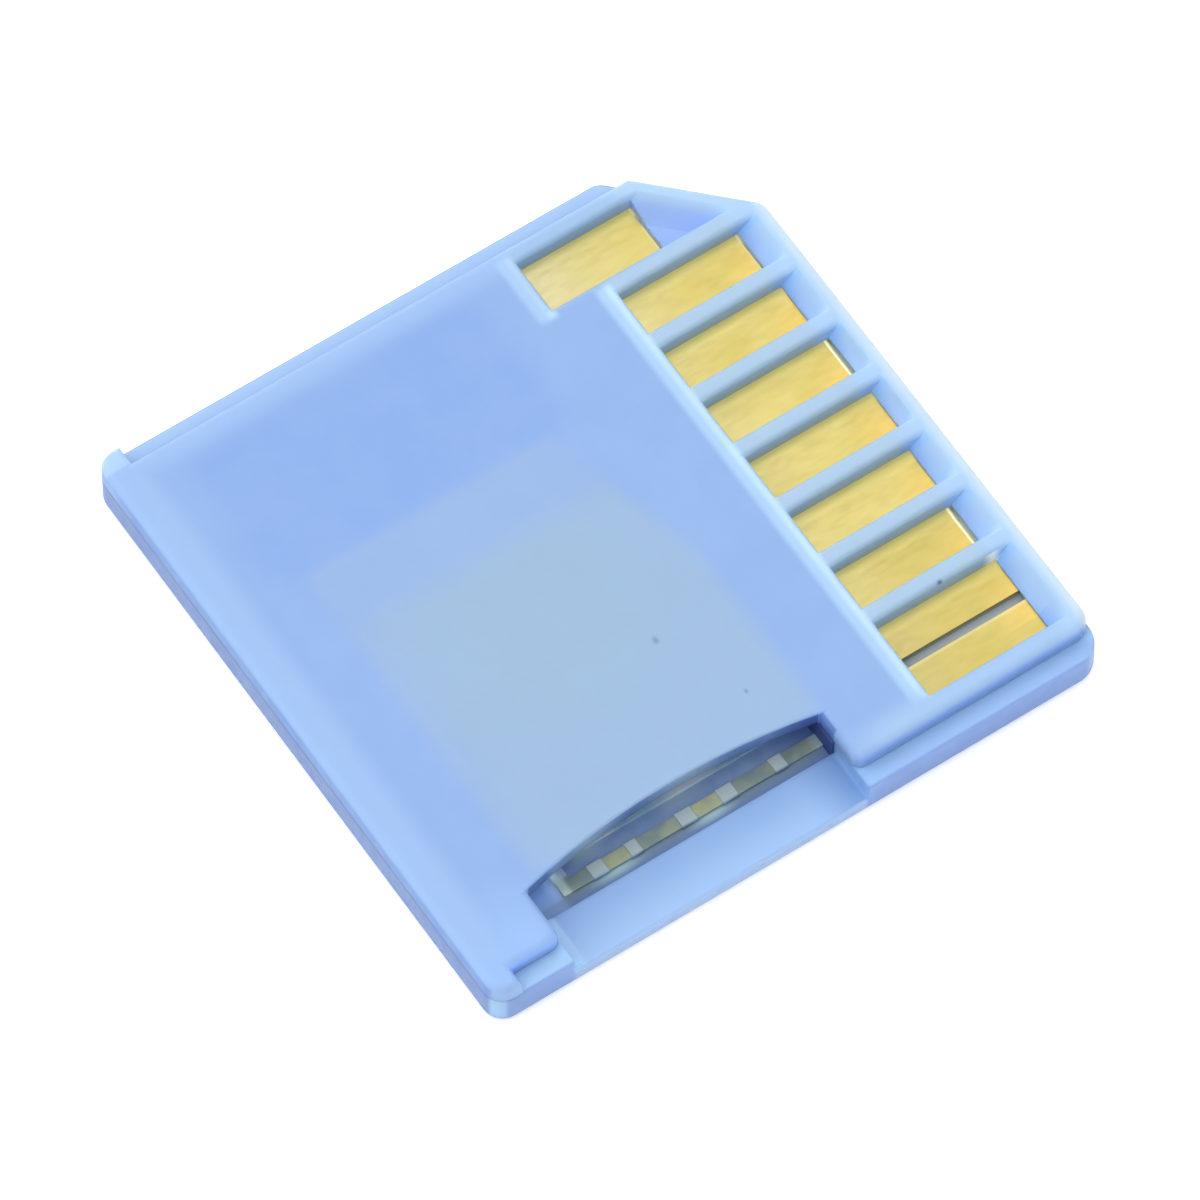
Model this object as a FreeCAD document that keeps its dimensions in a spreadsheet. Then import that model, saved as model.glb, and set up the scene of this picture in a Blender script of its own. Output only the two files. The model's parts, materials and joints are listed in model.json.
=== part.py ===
import FreeCAD, Part
import Sketcher
import os
import math

# Flush memory card adapter, 24 x 23.9 x 2.1 mm, contact side up.
# X is the width, +Y the direction in which the adapter is pushed into a
# reader, +Z up.  The label side lies on z = 0, the origin is the middle of
# the outline at that face.  The small card goes in from the +X side.

V = FreeCAD.Vector
doc = FreeCAD.newDocument("card_adapter")
dims = doc.addObject("Spreadsheet::Sheet", "dims")

WORDS = ["", "one", "two", "three", "four", "five", "six", "seven", "eight", "nine"]

TABLE = [
    # outline of the two shells
    ("body_width", 24.0, "over the side rails"),
    ("body_length", 23.9, "rear edge to front edge"),
    ("body_thick", 2.1, "label side to contact side"),
    ("parting_height", 1.4, "joint between the shells, top of the side rails"),
    ("ledge_width", 0.75, "width of the side rails"),
    ("post_length", 1.05, "full-height corner posts at the rear"),
    ("chamfer_leg", 4.0, "keying chamfer"),
    ("corner_radius", 1.0, "front right corner"),
    ("rear_radius", 0.75, "rear corners"),
    ("chamfer_radius", 0.6, "both ends of the chamfer"),
    ("plate_radius", 0.7, "front right corner of the raised face"),
    ("foot_round", 0.25, "edges of the label side"),
    ("rim_round", 0.12, "outer edge of the rails"),
    ("top_round", 0.28, "outer edge of the raised face"),
    ("rib_round", 0.18, "edges of the contact windows"),
    # contact windows
    ("window_rear", 5.96, ""),
    ("window_front", 11.46, "top of the ramp up to the front bar"),
    ("sill_height", 1.5, "foot of that ramp, in front of the pads"),
    ("cell_first", -7.75, "left wall of window 1"),
    ("cell_pitch", 2.5, ""),
    ("cell_width", 1.83, "2.5 pitch less a 0.67 rib"),
    ("wide_left", 7.25, "window shared by pads 7 and 8"),
    ("wide_right", 10.5, ""),
    ("nine_left", -10.57, ""),
    ("nine_right", -8.42, ""),
    ("nine_rear", 3.80, ""),
    ("nine_rise", 0.4, "from the end of pad 9 to the top of the slope beside the chamfer"),
    ("nine_ramp", 0.9, "width of that slope"),
    ("sill_one", 10.74, "where the floor in front of each pad begins"),
    ("sill_two", 10.80, ""),
    ("sill_three", 11.00, ""),
    ("sill_four", 11.00, ""),
    ("sill_five", 10.80, ""),
    ("sill_six", 10.77, ""),
    ("sill_seven", 10.80, ""),
    ("sill_nine", 8.36, ""),
    # mouth of the card slot
    ("mouth_front", 2.6, ""),
    ("mouth_rear", -8.9, ""),
    ("mouth_end", 9.1, "cut-out in the raised face at its front end"),
    ("mouth_skew", 0.12, "how much further right it is at its rear end"),
    ("mouth_sag", 0.63, "how far the cut-out bows inwards"),
    ("mouth_corner", 0.35, "upright corners between the mouth and the step"),
    ("slot_front", 2.5, ""),
    ("slot_rear", -8.8, ""),
    ("slot_end", -4.65, ""),
    ("slot_floor", 0.7, ""),
    ("slot_roof", 1.5, ""),
    ("lip_inner", 9.95, ""),
    ("guide_width", 0.45, "guide at the rear end of the lip"),
    ("guide_height", 0.85, ""),
    # insert that holds the contacts
    ("cavity_floor", 0.3, ""),
    ("insert_side", 10.75, ""),
    ("insert_step", 3.4, "the insert is narrower beside the mouth"),
    ("insert_front", 11.25, ""),
    ("insert_chamfer", 0.78, "wall at the chamfer, measured along Y"),
    ("recess_left", 7.55, "shallow recess seen through the mouth"),
    ("recess_floor", 0.45, ""),
    ("finger_slot", 0.84, ""),
    ("finger_slot_left", -3.3, ""),
    ("gap_depth", 0.28, "groove between pads 7 and 8"),
    ("gap_left", 8.61, ""),
    ("gap_right", 9.00, ""),
    ("bridge_left", 8.91, "bridges over contact 8"),
    ("bridge_right", 9.49, ""),
    ("bridge_top", 0.62, ""),
    # locating pegs between the shells
    ("peg_diameter", 1.2, ""),
    ("peg_hole", 1.26, ""),
    ("peg_length", 0.3, ""),
    ("peg_depth", 0.34, ""),
    ("peg_column", -8.0, ""),
    ("peg_low", -7.2, ""),
    ("peg_high", 0.6, ""),
    ("peg_row", -10.35, ""),
    ("peg_row_left", -2.0, ""),
    ("peg_row_right", 7.0, ""),
    # stamped contacts
    ("strip_thick", 0.15, ""),
    ("pad_lap", 0.05, "how far a pad runs under the ribs"),
    ("nose_foot", 0.95, ""),
    ("leg_back", 5.35, "rear face of the legs of pads 1 to 8"),
    ("leg_back_nine", 3.3, ""),
    ("run_base", 0.42, ""),
    ("stub_half", 0.15, ""),
    ("lane_half", 0.15, ""),
    ("run_half", 0.25, ""),
    ("finger_half", 0.3, ""),
    ("root_x", 1.0, ""),
    ("finger_knee", 0.8, ""),
    ("crest_x", -2.3, ""),
    ("crest_top", 1.0, ""),
    ("tip_x", -2.9, ""),
    ("tip_top", 0.8, ""),
    ("finger_pitch", 1.1, ""),
    ("finger_eight", -7.35, "rearmost spring finger"),
    ("tail_three", 4.5, "end of the short contact 3"),
]
# contact: pad left, pad right, pad front end, stub x, lane y, run x
LEADS = {
    1: (-7.75, -5.92, 10.74, -6.84, 3.30, 2.55),
    2: (-5.25, -3.42, 10.95, -4.34, 3.75, 3.65),
    3: (-2.75, -0.92, 10.93, -1.84, 0.0, 0.0),
    4: (-0.25, 1.58, 11.13, 0.66, 4.20, 4.75),
    5: (2.25, 4.08, 10.95, 3.16, 4.65, 5.85),
    6: (4.75, 6.58, 10.68, 5.66, 5.10, 6.95),
    7: (7.25, 8.56, 10.95, 7.93, 5.10, 8.05),
    8: (9.05, 10.50, 10.95, 9.45, 5.10, 9.20),
    9: (-10.57, -8.42, 8.36, -9.47, 2.85, 1.45),
}
for n, row in LEADS.items():
    for key, value in zip(("pad_left", "pad_right", "pad_end", "stub", "lane", "run"), row):
        if n == 3 and key in ("lane", "run"):
            continue
        TABLE.append((key + "_" + WORDS[n], value, ""))
BRIDGES = ((0.90, 0.50), (-1.10, 0.62), (-2.70, 0.62), (-4.75, 0.45), (-6.15, 0.60))
for k, (mid, size) in enumerate(BRIDGES, 1):
    TABLE.append(("bridge_mid_" + WORDS[k], mid, ""))
    TABLE.append(("bridge_size_" + WORDS[k], size, ""))

VALUES = {}
for line, (alias, value, note) in enumerate(TABLE, 1):
    dims.set("A%d" % line, alias)
    dims.set("B%d" % line, repr(value))
    dims.setAlias("B%d" % line, alias)
    if note:
        dims.set("C%d" % line, note)
    VALUES[alias] = float(value)
doc.recompute()


class Q:
    """A length with the sheet expression that gives it."""

    def __init__(self, num, txt):
        self.num, self.txt = num, txt

    def __add__(self, o):
        o = q(o)
        return Q(self.num + o.num, "(%s + %s)" % (self.txt, o.txt))

    def __sub__(self, o):
        o = q(o)
        return Q(self.num - o.num, "(%s - %s)" % (self.txt, o.txt))

    def __mul__(self, o):
        o = q(o)
        return Q(self.num * o.num, "(%s * %s)" % (self.txt, o.txt))

    def __truediv__(self, o):
        o = q(o)
        return Q(self.num / o.num, "(%s / %s)" % (self.txt, o.txt))

    def __neg__(self):
        return Q(-self.num, "(0 - %s)" % self.txt)


def q(v):
    return v if isinstance(v, Q) else Q(float(v), "%.6f" % v if v >= 0 else "(0 - %.6f)" % -v)


def d(alias):
    return Q(VALUES[alias], "dims." + alias)


def plane(body, role):
    return [f for f in body.Origin.OriginFeatures if f.Role == role][0]


def place_sketch(body, name, role, offset):
    sk = body.newObject("Sketcher::SketchObject", name)
    sk.AttachmentSupport = [(plane(body, role), "")]
    sk.MapMode = "FlatFace"
    sk.AttachmentOffset = FreeCAD.Placement(V(0, 0, offset.num), FreeCAD.Rotation())
    sk.setExpression("AttachmentOffset.Base.z", offset.txt)
    return sk


def pin(sk, geo, pos, x, y):
    for kind, v in (("DistanceX", x), ("DistanceY", y)):
        i = sk.addConstraint(Sketcher.Constraint(kind, -1, 1, geo, pos, v.num))
        sk.setExpression("Constraints[%d]" % i, v.txt)


def outline(body, name, role, offset, pts, sag=None):
    """Closed sketch through pts; sag=(index, radius) bows one side inwards."""
    sk = place_sketch(body, name, role, q(offset))
    pts = [(q(a), q(b)) for a, b in pts]
    n = len(pts)
    for i in range(n):
        a, b = pts[i], pts[(i + 1) % n]
        p, r = V(a[0].num, a[1].num, 0), V(b[0].num, b[1].num, 0)
        if sag and sag[0] == i:
            depth = sag[2].num
            mid = (p + r) * 0.5 + V(-depth, 0, 0)
            sk.addGeometry(Part.Arc(p, mid, r), False)
        else:
            sk.addGeometry(Part.LineSegment(p, r), False)
    ends = []
    for i in range(n):
        if sag and sag[0] == i:
            s = V(pts[i][0].num, pts[i][1].num, 0)
            g = sk.Geometry[i]
            ends.append((1, 2) if (g.StartPoint - s).Length < 1e-6 else (2, 1))
        else:
            ends.append((1, 2))
    for i in range(n):
        j = (i + 1) % n
        sk.addConstraint(Sketcher.Constraint("Coincident", i, ends[i][1], j, ends[j][0]))
    for i in range(n):
        pin(sk, i, ends[i][0], pts[i][0], pts[i][1])
    if sag:
        i = sk.addConstraint(Sketcher.Constraint("Radius", sag[0], sag[1].num))
        sk.setExpression("Constraints[%d]" % i, sag[1].txt)
    return sk


def circles(body, name, role, offset, spots, diameter):
    sk = place_sketch(body, name, role, q(offset))
    for x, y in spots:
        x, y = q(x), q(y)
        g = sk.addGeometry(Part.Circle(V(x.num, y.num, 0), V(0, 0, 1), diameter.num / 2), False)
        pin(sk, g, 3, x, y)
        i = sk.addConstraint(Sketcher.Constraint("Diameter", g, diameter.num))
        sk.setExpression("Constraints[%d]" % i, diameter.txt)
    return sk


def grow(body, name, sk, length, back=False):
    f = body.newObject("PartDesign::Pad", name)
    f.Profile = sk
    f.Length = q(length).num
    f.setExpression("Length", q(length).txt)
    f.Reversed = back
    sk.Visibility = False
    doc.recompute()
    return f


def cut(body, name, sk, length, back=False):
    before = body.Shape.Volume
    f = body.newObject("PartDesign::Pocket", name)
    f.Profile = sk
    f.Length = q(length).num
    f.setExpression("Length", q(length).txt)
    f.Reversed = back
    sk.Visibility = False
    doc.recompute()
    if body.Shape.Volume >= before - 1e-4:
        raise RuntimeError(name + " removes nothing")
    return f


def edges_where(shape, test):
    names = []
    for i, e in enumerate(shape.Edges, 1):
        b = e.BoundBox
        if test(e, b):
            names.append("Edge%d" % i)
    return names


def soften(body, name, kind, test, size, prop="Radius"):
    """A fillet or chamfer on the edges of the tip that pass the test."""
    base = body.Tip
    names = edges_where(base.Shape, test)
    if not names:
        raise RuntimeError(name + " finds no edge")
    f = body.newObject("PartDesign::" + kind, name)
    f.Base = (base, names)
    setattr(f, prop, size.num)
    f.setExpression(prop, size.txt)
    doc.recompute()
    if "Invalid" in f.State or "Error" in f.State or f.Shape.isNull() or not f.Shape.isValid():
        raise RuntimeError("%s failed on %d edges" % (name, len(names)))
    return f


def near(a, b, tol=1e-3):
    return abs(a - b) < tol


def along(e, axis):
    if e.Curve.TypeId != "Part::GeomLine":
        return False
    t = e.tangentAt(e.FirstParameter)
    return abs(abs((t.x, t.y, t.z)[axis]) - 1) < 1e-4


def new_body(label):
    body = doc.addObject("PartDesign::Body", label)
    body.Label = label
    body.Placement = FreeCAD.Placement(V(0, 0, 0), FreeCAD.Rotation())
    return body


half_w = d("body_width") / 2
half_l = d("body_length") / 2
rail_x = half_w - d("ledge_width")
post_y = -half_l + d("post_length")
line = d("parting_height")
top = d("body_thick")
PEGS = ((d("peg_column"), d("peg_low")), (d("peg_column"), d("peg_high")),
        (d("peg_row_left"), d("peg_row")), (d("peg_row_right"), d("peg_row")))

# ---------------------------------------------------------------- label side
# Lower shell: floor, side rails, front wall, lip of the card slot.
label = new_body("label_side_shell")
grow(label, "label_block", outline(label, "label_outline", "XY_Plane", 0, [
    (-half_w, -half_l), (half_w, -half_l), (half_w, half_l),
    (-half_w + d("chamfer_leg"), half_l), (-half_w, half_l - d("chamfer_leg"))]), line)
soften(label, "label_rear_corners", "Fillet", lambda e, b: along(e, 2) and b.YMax < 0, d("rear_radius"))
soften(label, "label_front_corner", "Fillet", lambda e, b: along(e, 2) and b.XMin > 11.99 and b.YMin > 5,
       d("corner_radius"))
soften(label, "label_chamfer_ends", "Fillet", lambda e, b: along(e, 2) and b.XMax < -5 and b.YMin > 5
       and near(b.XMin, b.XMax), d("chamfer_radius"))
soften(label, "label_foot", "Fillet", lambda e, b: near(b.ZMax, 0), d("foot_round"))
soften(label, "label_rim", "Fillet",
       lambda e, b: near(b.ZMin, line.num) and near(b.ZMax, line.num) and b.YMax < half_l.num - 0.01
       and b.YMin > -half_l.num + 0.01 and b.YLength > 3 and near(abs(b.XMin), half_w.num, 0.01),
       d("rim_round"))
cut(label, "insert_cavity", outline(label, "insert_cavity_outline", "XY_Plane", line, [
    (-d("insert_side"), d("slot_front")), (d("lip_inner"), d("slot_front")),
    (d("lip_inner"), d("insert_step")), (d("insert_side"), d("insert_step")),
    (d("insert_side"), d("insert_front")),
    (-half_w + d("chamfer_leg") + d("insert_chamfer") - (half_l - d("insert_front")), d("insert_front")),
    (-d("insert_side"), half_l - d("chamfer_leg") - d("insert_chamfer") + half_w - d("insert_side"))]),
    line - d("cavity_floor"))
cut(label, "slot_cavity", outline(label, "slot_cavity_outline", "XY_Plane", line, [
    (d("slot_end"), d("slot_rear")), (d("lip_inner"), d("slot_rear")),
    (d("lip_inner"), d("slot_front") + 0.2), (d("slot_end"), d("slot_front") + 0.2)]),
    line - d("cavity_floor"))
cut(label, "lip_cut", outline(label, "lip_outline", "XY_Plane", line, [
    (d("lip_inner") - 0.2, d("mouth_rear")), (half_w + 1, d("mouth_rear")),
    (half_w + 1, d("mouth_front")), (d("lip_inner") - 0.2, d("mouth_front"))]),
    line - d("slot_floor"))
grow(label, "lip_guide", outline(label, "lip_guide_outline", "YZ_Plane", d("lip_inner"), [
    (d("mouth_rear") - 0.1, d("slot_floor") - 0.1), (d("mouth_rear") + d("guide_width"), d("slot_floor") - 0.1),
    (d("mouth_rear") + d("guide_width"), d("slot_floor") + 0.02), (d("mouth_rear"), d("guide_height")),
    (d("mouth_rear") - 0.1, d("guide_height"))]), half_w - d("lip_inner") - 0.15)
soften(label, "lip_round", "Fillet",
       lambda e, b: along(e, 1) and near(b.XMin, half_w.num, 0.01) and near(b.ZMin, VALUES["slot_floor"])
       and b.YLength > 5, d("rim_round"))
grow(label, "pegs", circles(label, "peg_circles", "XY_Plane", line, PEGS, d("peg_diameter")), d("peg_length"))

# -------------------------------------------------------------- contact side
# Upper shell: raised face, corner posts, ribs between the contacts.
cover = new_body("contact_side_shell")
grow(cover, "face_plate", outline(cover, "face_outline", "XY_Plane", line, [
    (-half_w, -half_l), (half_w, -half_l), (half_w, post_y), (rail_x, post_y), (rail_x, half_l),
    (-half_w + d("chamfer_leg"), half_l),
    (-rail_x, half_l - d("chamfer_leg") + d("ledge_width")), (-rail_x, post_y), (-half_w, post_y)]),
    top - line)
soften(cover, "face_rear_corners", "Fillet",
       lambda e, b: along(e, 2) and near(abs(b.XMin), half_w.num) and near(b.YMin, -half_l.num),
       d("rear_radius"))
soften(cover, "face_front_corner", "Fillet",
       lambda e, b: along(e, 2) and near(b.XMin, rail_x.num) and near(b.YMin, half_l.num), d("plate_radius"))
soften(cover, "face_chamfer_ends", "Fillet",
       lambda e, b: along(e, 2) and b.XMax < -5 and b.YMin > 5 and not near(b.XMin, -half_w.num) and
       near(b.YMin, half_l.num), d("chamfer_radius"))
soften(cover, "face_rim", "Fillet", lambda e, b: near(b.ZMin, top.num, 0.01) and near(b.ZMax, top.num, 0.01),
       d("top_round"))
# mouth of the card slot, with its bowed inner edge
half_mouth = (d("mouth_front") - d("mouth_rear")) / 2
half_skew = d("mouth_skew") / 2
# radius of the arc through both ends and a point mouth_sag left of their middle
chord = half_mouth * half_mouth + half_skew * half_skew
bow = (chord + d("mouth_sag") * d("mouth_sag")) / (d("mouth_sag") * 2)
cut(cover, "mouth", outline(cover, "mouth_outline", "XY_Plane", top, [
    (half_w + 1, d("mouth_rear")), (half_w + 1, d("mouth_front")),
    (d("mouth_end"), d("mouth_front")), (d("mouth_end") + d("mouth_skew"), d("mouth_rear"))],
    sag=(2, bow, d("mouth_sag"))), top - line)
soften(cover, "mouth_corners", "Fillet",
       lambda e, b: along(e, 2) and near(b.XMin, rail_x.num) and
       (near(b.YMin, VALUES["mouth_rear"]) or near(b.YMin, VALUES["mouth_front"])), d("mouth_corner"))
# roof of the card slot
cut(cover, "slot_roof_cut", outline(cover, "slot_roof_outline", "XY_Plane", d("slot_roof"), [
    (d("slot_end"), d("slot_rear")), (d("mouth_end") + 0.5, d("slot_rear")),
    (d("mouth_end") + 0.5, d("slot_front")), (d("slot_end"), d("slot_front"))]),
    d("slot_roof") - line)


def window(n, left, right, rear, sill):
    """One contact window: upright rear wall, low sill, ramp to the front bar."""
    name = WORDS[n]
    cut(cover, "window_" + name, outline(cover, "window_outline_" + name, "YZ_Plane", right, [
        (rear, line - 0.1), (sill, line - 0.1), (sill, d("sill_height")), (d("window_front"), top),
        (d("window_front"), top + 0.2), (rear, top + 0.2)]), right - left)


for n in range(1, 7):
    left = d("cell_first") + d("cell_pitch") * (n - 1)
    window(n, left, left + d("cell_width"), d("window_rear"), d("sill_" + WORDS[n]))
window(7, d("wide_left"), d("wide_right"), d("window_rear"), d("sill_seven"))
# window 9: floor in front of the pad, with a slope up to the keying chamfer
cut(cover, "sill_nine_cut", outline(cover, "sill_nine_outline", "XY_Plane", top, [
    (d("nine_left"), d("sill_nine") - 0.1), (d("nine_right"), d("sill_nine") - 0.1),
    (d("nine_right"), d("sill_nine") + d("nine_rise") + d("nine_right") - d("nine_left")),
    (d("nine_left"), d("sill_nine") + d("nine_rise"))]),
    top - d("sill_height"))
ROOT2 = Q(math.sqrt(2.0), "sqrt(2)")
slope_top = (d("nine_left") - d("sill_nine") - d("nine_rise")) / ROOT2
slope_end = slope_top - d("nine_right") * ROOT2 - 0.01
slope = cover.newObject("Sketcher::SketchObject", "nine_slope_profile")
slope.AttachmentSupport = [(plane(cover, "XZ_Plane"), "")]
slope.MapMode = "FlatFace"
slope.AttachmentOffset = FreeCAD.Placement(V(-slope_end.num / ROOT2.num, 0, slope_end.num / ROOT2.num),
                                           FreeCAD.Rotation(V(0, 1, 0), -45))
slope.setExpression("AttachmentOffset.Base.x", (-slope_end / ROOT2).txt)
slope.setExpression("AttachmentOffset.Base.z", (slope_end / ROOT2).txt)
corners = [(slope_top - 0.05, line + 0.02), (slope_top + d("nine_ramp"), line + 0.02),
           (slope_top + d("nine_ramp"), d("sill_height")), (slope_top, top), (slope_top - 0.05, top)]
for k in range(5):
    p, r = corners[k], corners[(k + 1) % 5]
    slope.addGeometry(Part.LineSegment(V(p[0].num, p[1].num, 0), V(r[0].num, r[1].num, 0)), False)
for k in range(5):
    slope.addConstraint(Sketcher.Constraint("Coincident", k, 2, (k + 1) % 5, 1))
for k in range(5):
    pin(slope, k, 1, corners[k][0], corners[k][1])
doc.recompute()
grow(cover, "nine_slope", slope, Q(3.48, "3.48"))
cut(cover, "window_nine", outline(cover, "window_outline_nine", "XY_Plane", top, [
    (d("nine_left"), d("nine_rear")), (d("nine_right"), d("nine_rear")),
    (d("nine_right"), d("sill_nine")), (d("nine_left"), d("sill_nine"))]), top - line)

TOPZ = top.num


def flat_top(b):
    return near(b.ZMin, TOPZ) and near(b.ZMax, TOPZ)


# soft edges of the ribs and windows
soften(cover, "rib_edges", "Fillet",
       lambda e, b: flat_top(b) and e.Curve.TypeId == "Part::GeomLine" and
       b.YMin > VALUES["nine_rear"] - 0.01 and b.YMax < half_l.num - 0.2 and b.XMin > -10.7 and b.XMax < 10.6,
       d("rib_round"))
soften(cover, "mouth_edges", "Fillet",
       lambda e, b: flat_top(b) and b.XMin > 8 and b.YMin > VALUES["mouth_rear"] - 0.01 and
       b.YMax < VALUES["mouth_front"] + 0.01, Q(0.08, "0.08"))
cut(cover, "peg_holes", circles(cover, "peg_hole_circles", "XY_Plane", line + d("peg_depth"), PEGS,
                                d("peg_hole")), d("peg_depth"))

# ------------------------------------------------------------------ contacts
# Nine stamped strips.  Each has a flat pad in its window, a nose bent down at
# the front, a leg down to the level below the card slot, and a run that ends
# in a spring finger under the card.  Contact 3 is a short earth pad.
finger_at = {8: 0, 7: 1, 6: 2, 5: 3, 4: 4, 2: 5, 1: 6, 9: 7}
leads = []
for n in range(1, 10):
    w = WORDS[n]
    lead = new_body("contact_lead_%d" % n)
    leads.append(lead)
    t = d("strip_thick")
    left = d("pad_left_" + w) - d("pad_lap")
    right = d("pad_right_" + w) + d("pad_lap")
    end = d("pad_end_" + w)
    back = d("leg_back_nine") if n == 9 else d("leg_back")
    base = d("run_base")
    grow(lead, "pad_%d" % n, outline(lead, "pad_profile_%d" % n, "YZ_Plane", left, [
        (back, line), (back, base), (back + t, base), (back + t, line - t),
        (end - t, line - t), (end - t, d("nose_foot")), (end, d("nose_foot")), (end, line)]),
        right - left)
    # bent edges: nose and leg are rounded on the outside
    soften(lead, "bends_%d" % n, "Fillet",
           lambda e, b: along(e, 0) and near(b.ZMin, VALUES["parting_height"]), Q(0.13, "0.13"))
    if n == 3:
        x = d("stub_three")
        grow(lead, "tail_3", outline(lead, "tail_outline_3", "XY_Plane", base, [
            (x - 0.35, d("tail_three")), (x + 0.35, d("tail_three")),
            (x + 0.35, back + t), (x - 0.35, back + t)]), t)
        continue
    x, lane, run = d("stub_" + w), d("lane_" + w), d("run_" + w)
    a, b_, c = d("stub_half"), d("lane_half"), d("run_half")
    f = d("finger_eight") + d("finger_pitch") * finger_at[n]
    if n == 8:
        pts = [(x - a, back + t), (x + a, back + t), (x + a, lane - b_), (run + c, lane - b_),
               (run + c, f - c), (d("root_x"), f - c), (d("root_x"), f + c),
               (run - c, f + c), (run - c, lane + b_), (x - a, lane + b_)]
    else:
        pts = [(x - a, back + t), (x + a, back + t), (x + a, lane + b_), (run + c, lane + b_),
               (run + c, f - c), (d("root_x"), f - c), (d("root_x"), f + c),
               (run - c, f + c), (run - c, lane - b_), (x - a, lane - b_)]
    grow(lead, "run_%d" % n, outline(lead, "run_outline_%d" % n, "XY_Plane", base, pts), t)
    fh = d("finger_half")
    sk = outline(lead, "finger_profile_%d" % n, "XZ_Plane", -(f + fh), [
        (d("root_x") + 0.2, base), (d("root_x") + 0.2, base + t), (d("finger_knee"), base + t),
        (d("crest_x"), d("crest_top")), (d("tip_x"), d("tip_top")), (d("tip_x"), d("tip_top") - t),
        (d("crest_x"), d("crest_top") - t), (d("finger_knee"), base)])
    grow(lead, "finger_%d" % n, sk, fh * 2)

# -------------------------------------------------------------------- insert
# Moulded insert that carries the contacts under the pads, and the thin tray
# that carries their runs and spring fingers under the card slot.
block = new_body("insert_block")
grow(block, "insert_front_block", outline(block, "insert_front_outline", "XY_Plane", d("cavity_floor"), [
    (-d("insert_side"), d("slot_front")), (d("lip_inner"), d("slot_front")),
    (d("lip_inner"), d("insert_step")), (d("insert_side"), d("insert_step")),
    (d("insert_side"), d("insert_front")),
    (-half_w + d("chamfer_leg") + d("insert_chamfer") - (half_l - d("insert_front")), d("insert_front")),
    (-d("insert_side"), half_l - d("chamfer_leg") - d("insert_chamfer") + half_w - d("insert_side"))]),
    line - d("cavity_floor"))
# groove between pads 7 and 8, and the gaps round the noses that show
cut(block, "pad_gap", outline(block, "pad_gap_outline", "XY_Plane", line, [
    (d("gap_left"), d("leg_back") - 0.3), (d("gap_right"), d("leg_back") - 0.3),
    (d("gap_right"), d("sill_seven") + 0.05), (d("gap_left"), d("sill_seven") + 0.05)]), d("gap_depth"))
for n in (1, 3, 6, 9):
    w = WORDS[n]
    reach = d("sill_" + w) + (0.06 if n in (3, 6) else 0.0)
    cut(block, "nose_gap_" + w, outline(block, "nose_gap_outline_" + w, "XY_Plane", line, [
        (d("pad_left_" + w) - 0.05, d("pad_end_" + w) - 0.15), (d("pad_right_" + w) + 0.05, d("pad_end_" + w) - 0.15),
        (d("pad_right_" + w) + 0.05, reach), (d("pad_left_" + w) - 0.05, reach)]),
        d("gap_depth"))
tray_block = new_body("tray_block")
grow(tray_block, "tray_plate", outline(tray_block, "tray_outline", "XY_Plane", d("cavity_floor"), [
    (d("slot_end"), d("slot_rear")), (d("lip_inner"), d("slot_rear")),
    (d("lip_inner"), d("slot_front")), (d("slot_end"), d("slot_front"))]),
    d("slot_floor") - d("cavity_floor"))
# recess under the mouth, where the run of contact 8 lies open
cut(tray_block, "mouth_recess", outline(tray_block, "mouth_recess_outline", "XY_Plane", d("slot_floor"), [
    (d("recess_left"), d("slot_rear") + 0.25), (d("lip_inner") + 0.5, d("slot_rear") + 0.25),
    (d("lip_inner") + 0.5, d("slot_front")), (d("recess_left"), d("slot_front"))]),
    d("slot_floor") - d("recess_floor"))
for k in range(1, 6):
    mid, size = d("bridge_mid_" + WORDS[k]), d("bridge_size_" + WORDS[k])
    grow(tray_block, "bridge_%d" % k, outline(tray_block, "bridge_outline_%d" % k, "XY_Plane", d("recess_floor") - 0.05, [
        (d("bridge_left"), mid - size / 2), (d("bridge_right"), mid - size / 2),
        (d("bridge_right"), mid + size / 2), (d("bridge_left"), mid + size / 2)]),
        d("bridge_top") - d("recess_floor") + 0.05)
soften(tray_block, "bridge_edges", "Fillet",
       lambda e, b: near(b.ZMin, VALUES["bridge_top"]) and near(b.ZMax, VALUES["bridge_top"]), Q(0.04, "0.04"))
# one opening for each spring finger
slot = cut(tray_block, "finger_opening", outline(tray_block, "finger_opening_outline", "XY_Plane", d("slot_floor"), [
    (d("finger_slot_left"), d("finger_eight") - d("finger_slot") / 2),
    (d("root_x"), d("finger_eight") - d("finger_slot") / 2),
    (d("root_x"), d("finger_eight") + d("finger_slot") / 2),
    (d("finger_slot_left"), d("finger_eight") + d("finger_slot") / 2)]),
    d("slot_floor") - d("cavity_floor"))
rowp = tray_block.newObject("PartDesign::LinearPattern", "finger_openings")
rowp.Originals = [slot]
rowp.Direction = (plane(tray_block, "Y_Axis"), [""])
rowp.Occurrences = 8
rowp.Length = VALUES["finger_pitch"] * 7
rowp.setExpression("Length", "dims.finger_pitch * 7")
tray_block.Tip = rowp
doc.recompute()

tool = doc.addObject("Part::Compound", "contact_set")
tool.Links = leads
moulded = []
for name, base in (("contact_insert", block), ("slot_tray", tray_block)):
    f = doc.addObject("Part::Cut", name)
    f.Label = name
    f.Base = base
    f.Tool = tool
    f.Placement = FreeCAD.Placement(V(0, 0, 0), FreeCAD.Rotation())
    moulded.append(f)
doc.recompute()

# -------------------------------------------------------------------- output
for obj in doc.Objects:
    if "Invalid" in obj.State or "Error" in obj.State:
        raise RuntimeError("%s is %s" % (obj.Name, obj.State))

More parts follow.
